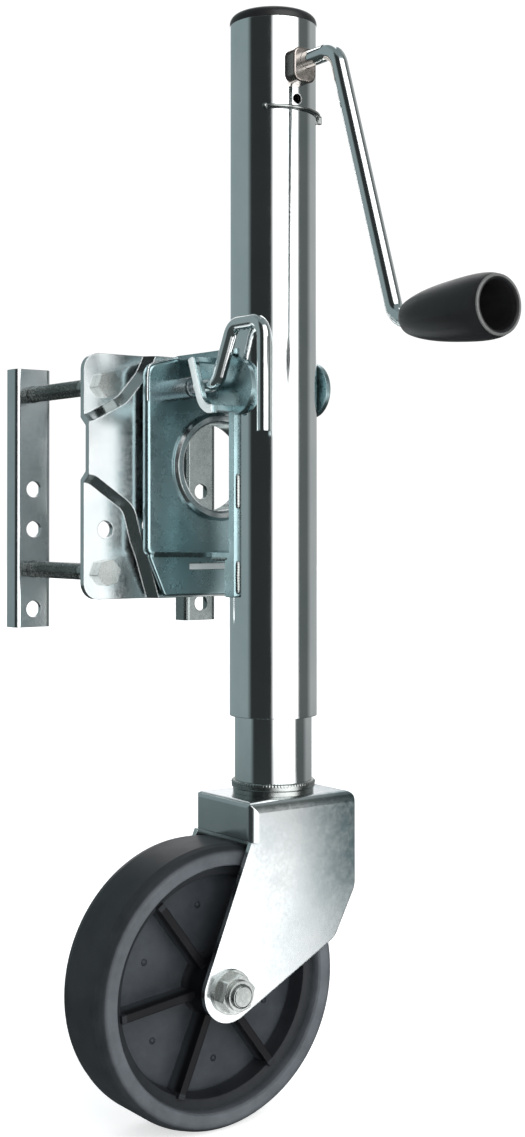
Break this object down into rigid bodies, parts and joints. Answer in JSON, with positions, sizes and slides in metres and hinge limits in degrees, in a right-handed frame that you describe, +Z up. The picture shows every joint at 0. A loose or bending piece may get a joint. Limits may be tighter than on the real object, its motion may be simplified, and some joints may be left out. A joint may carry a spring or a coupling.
{
  "type": "trailer tongue jack",
  "caption": "Side-wind swivel tongue jack: bolt-on clamp plate with a hollow pivot, telescoping zinc-plated tube, bent crank with black grip, and a caster fork with a ribbed black wheel",
  "frame": {"origin": "the swivel pivot's axis, on the plane of the mounting pads' back faces, where the plate bears on the trailer tongue", "axes": "+Z up along the jack's tube in the working position, +X forward along the trailer tongue (the caster trails toward -X), +Y from the mounting plate toward the trailer tongue and its clamp bars, so the crank is on the -Y side"},
  "size_m": [0.2009, 0.3606, 0.6318],
  "materials": {
    "zinc_plate": "bright zinc plate on stamped sheet",
    "blue_zinc": "zinc plate with a blue passivated tint",
    "bright_zinc": "bright polished zinc plate on tube and bar",
    "zinc_hardware": "zinc-plated hardware",
    "plain_steel": "oiled steel",
    "brass": "machined",
    "nylon": "natural nylon",
    "black_plastic": "moulded, fine grain",
    "wheel_plastic": "moulded, satin"
  },
  "bodies": {
    "frame": {"frame_plate": "zinc_plate", "pivot_ring": "zinc_plate", "pivot_washer": "nylon", "clamp_bar_left": "zinc_plate", "clamp_bar_right": "zinc_plate", "clamp_bolts": "zinc_hardware", "clamp_washers": "zinc_hardware", "clamp_nuts": "zinc_hardware"},
    "swivel": {"swivel_bracket": "blue_zinc", "pin_housing": "zinc_hardware", "outer_tube": "bright_zinc", "top_cap": "black_plastic", "crank_bushing": "zinc_hardware", "rear_bushing": "zinc_hardware", "wire_clip": "zinc_hardware", "head_plate": "plain_steel", "thrust_washer": "plain_steel", "pin_spring": "plain_steel"},
    "pull_pin": {"pull_pin": "bright_zinc"},
    "crank": {"crank_arm": "bright_zinc", "bevel_pinion": "plain_steel", "grip_retainer": "zinc_hardware"},
    "grip": {"crank_grip": "black_plastic"},
    "screw": {"lead_screw": "plain_steel", "bevel_gear": "plain_steel"},
    "lift": {"inner_tube": "bright_zinc", "drive_nut": "brass", "tube_foot": "zinc_hardware"},
    "caster": {"caster_washers": "zinc_hardware", "fork": "zinc_plate", "axle_bolt": "zinc_hardware", "axle_nut": "zinc_hardware", "axle_washer": "zinc_hardware", "axle_sleeve": "plain_steel"},
    "wheel": {"wheel": "wheel_plastic"}
  },
  "joints": [
    {"name": "swivel_turn", "type": "hinge", "parent": "frame", "child": "swivel", "pos_m": [0, 0, 0], "axis": [0, 1, 0], "range_deg": [-90, 90]},
    {"name": "pull_pin_slide", "type": "slide", "parent": "swivel", "child": "pull_pin", "axis": [0, -1, 0], "range_m": [-0.01, 0.006], "deforming": ["pin_spring"]},
    {"name": "crank_turn", "type": "hinge", "parent": "swivel", "child": "crank", "pos_m": [0, -0.075, 0.229], "axis": [0, -1, 0], "range_deg": [0, 24000]},
    {"name": "screw_turn", "type": "hinge", "parent": "swivel", "child": "screw", "pos_m": [0, -0.075, 0], "axis": [0, 0, 1], "range_deg": [0, 18001]},
    {"name": "lift_slide", "type": "slide", "parent": "swivel", "child": "lift", "axis": [0, 0, -1], "range_m": [0, 0.2541]},
    {"name": "grip_spin", "type": "hinge", "parent": "crank", "child": "grip", "pos_m": [0, -0.225, 0.073], "axis": [0, -1, 0], "continuous": true},
    {"name": "caster_swivel", "type": "hinge", "parent": "lift", "child": "caster", "pos_m": [0, -0.075, -0.19], "axis": [0, 0, 1], "continuous": true},
    {"name": "wheel_spin", "type": "hinge", "parent": "caster", "child": "wheel", "pos_m": [-0.0503, -0.075, -0.2916], "axis": [0, 1, 0], "continuous": true}
  ],
  "couplings": [
    {"joint": "screw_turn", "follows": "crank_turn", "ratio": 0.75},
    {"joint": "lift_slide", "follows": "crank_turn", "m_per_rad": 0.00060638}
  ]
}
